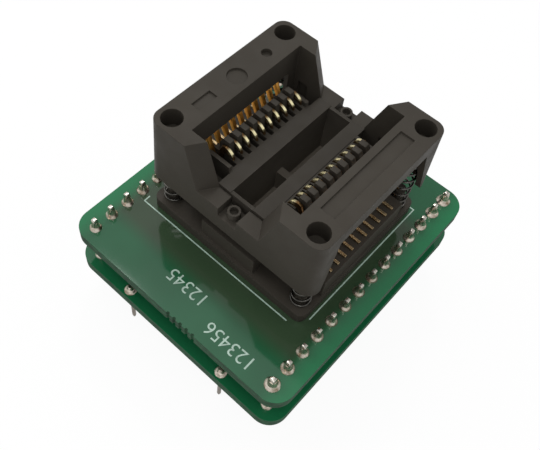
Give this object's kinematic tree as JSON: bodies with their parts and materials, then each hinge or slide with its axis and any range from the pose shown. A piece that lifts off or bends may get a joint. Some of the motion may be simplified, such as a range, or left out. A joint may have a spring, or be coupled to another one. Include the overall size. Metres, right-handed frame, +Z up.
{
  "type": "ic programming adapter",
  "caption": "Chip programming adapter: open top test socket with a press down cover and sprung contacts, on two stacked boards with pin rows below.",
  "frame": {"origin": "centre of the boards' outline at the level of the lower pin tips", "axes": "+Z up out of the open socket; +Y along the pin rows, towards the far end of the socket"},
  "size_m": [0.0328, 0.0369, 0.0298],
  "materials": {
    "board_green": "glossy solder mask",
    "pin_metal": "plated, bright",
    "solder": "bright solder",
    "socket_plastic": "satin moulded plastic",
    "contact_metal": "plated strip",
    "spring_wire": "drawn wire"
  },
  "bodies": {
    "adapter": {"upper_board": "board_green", "lower_board": "board_green", "riser_pins_left": "pin_metal", "dip_pins_left": "pin_metal", "solder_top_left": "solder", "solder_riser_lower_left": "solder", "solder_dip_left": "solder", "solder_contacts_left": "solder", "contact_roots_left": "contact_metal", "riser_pins_right": "pin_metal", "dip_pins_right": "pin_metal", "solder_top_right": "solder", "solder_riser_lower_right": "solder", "solder_dip_right": "solder", "solder_contacts_right": "solder", "contact_roots_right": "contact_metal", "socket_base": "socket_plastic", "return_spring_1": "spring_wire", "return_spring_2": "spring_wire", "return_spring_3": "spring_wire", "return_spring_4": "spring_wire"},
    "cover": {"socket_cover": "socket_plastic"},
    "contacts_left": {"contact_left_1": "contact_metal", "contact_left_2": "contact_metal", "contact_left_3": "contact_metal", "contact_left_4": "contact_metal", "contact_left_5": "contact_metal", "contact_left_6": "contact_metal", "contact_left_7": "contact_metal", "contact_left_8": "contact_metal", "contact_left_9": "contact_metal", "contact_left_10": "contact_metal"},
    "contacts_right": {"contact_right_1": "contact_metal", "contact_right_2": "contact_metal", "contact_right_3": "contact_metal", "contact_right_4": "contact_metal", "contact_right_5": "contact_metal", "contact_right_6": "contact_metal", "contact_right_7": "contact_metal", "contact_right_8": "contact_metal", "contact_right_9": "contact_metal", "contact_right_10": "contact_metal"}
  },
  "joints": [
    {"name": "cover_press", "type": "slide", "parent": "adapter", "child": "cover", "axis": [0, 0, -1], "range_m": [0, 0.0022], "stiffness_N_per_m": 1500, "springref_m": -0.003, "deforming": ["return_spring_1", "return_spring_2", "return_spring_3", "return_spring_4"]},
    {"name": "contacts_left_open", "type": "hinge", "parent": "adapter", "child": "contacts_left", "pos_m": [-0.0075, 0.00175, 0.01895], "axis": [0, -1, 0], "range_deg": [0, 11.46]},
    {"name": "contacts_right_open", "type": "hinge", "parent": "adapter", "child": "contacts_right", "pos_m": [0.0075, 0.00175, 0.01895], "axis": [0, 1, 0], "range_deg": [0, 11.46]}
  ],
  "couplings": [
    {"joint": "contacts_left_open", "follows": "cover_press", "rad_per_m": 90.909},
    {"joint": "contacts_right_open", "follows": "cover_press", "rad_per_m": 90.909}
  ]
}
